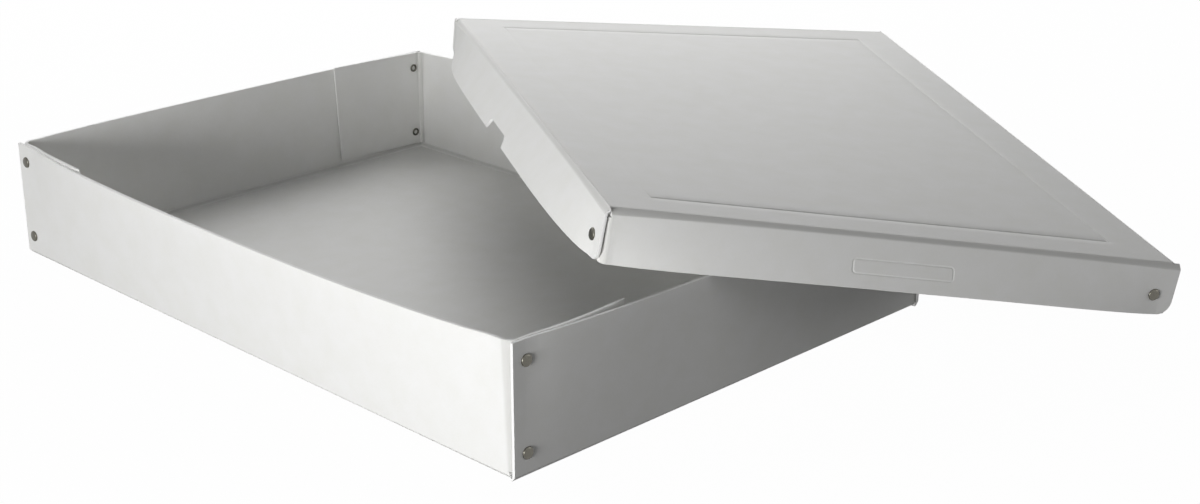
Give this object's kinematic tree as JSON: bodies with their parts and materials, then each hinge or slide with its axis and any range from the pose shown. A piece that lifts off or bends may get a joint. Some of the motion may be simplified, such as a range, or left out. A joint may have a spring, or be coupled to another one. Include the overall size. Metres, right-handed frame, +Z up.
{
  "type": "paper storage box",
  "caption": "Shallow riveted board box for loose A4 sheets, with its lift-off lid leaning across one corner of the tray.",
  "frame": {"origin": "under the middle of the tray's floor, on the surface that it stands on", "axes": "+Z up, +Y along the tray's long walls, towards its back, and +X along its short walls, towards the side that the lid lies on"},
  "size_m": [0.4495, 0.4386, 0.0812],
  "materials": {
    "board": "matt uncoated",
    "rivet": "satin"
  },
  "bodies": {
    "tray": {"tray_board": "board", "tray_rivet_front_left_lower": "rivet", "tray_rivet_front_left_upper": "rivet", "tray_rivet_front_right_lower": "rivet", "tray_rivet_front_right_upper": "rivet", "tray_rivet_back_right_lower": "rivet", "tray_rivet_back_right_upper": "rivet", "tray_rivet_back_left_lower": "rivet", "tray_rivet_back_left_upper": "rivet"},
    "lid": {"lid_board": "board", "lid_rivet_front_left": "rivet", "lid_rivet_front_right": "rivet", "lid_rivet_back_right": "rivet", "lid_rivet_back_left": "rivet"}
  },
  "joints": [
    {"name": "lid_lift", "type": "slide", "parent": "tray", "child": "lid", "axis": [0, 0, 1], "range_m": [0, 0.15]}
  ]
}
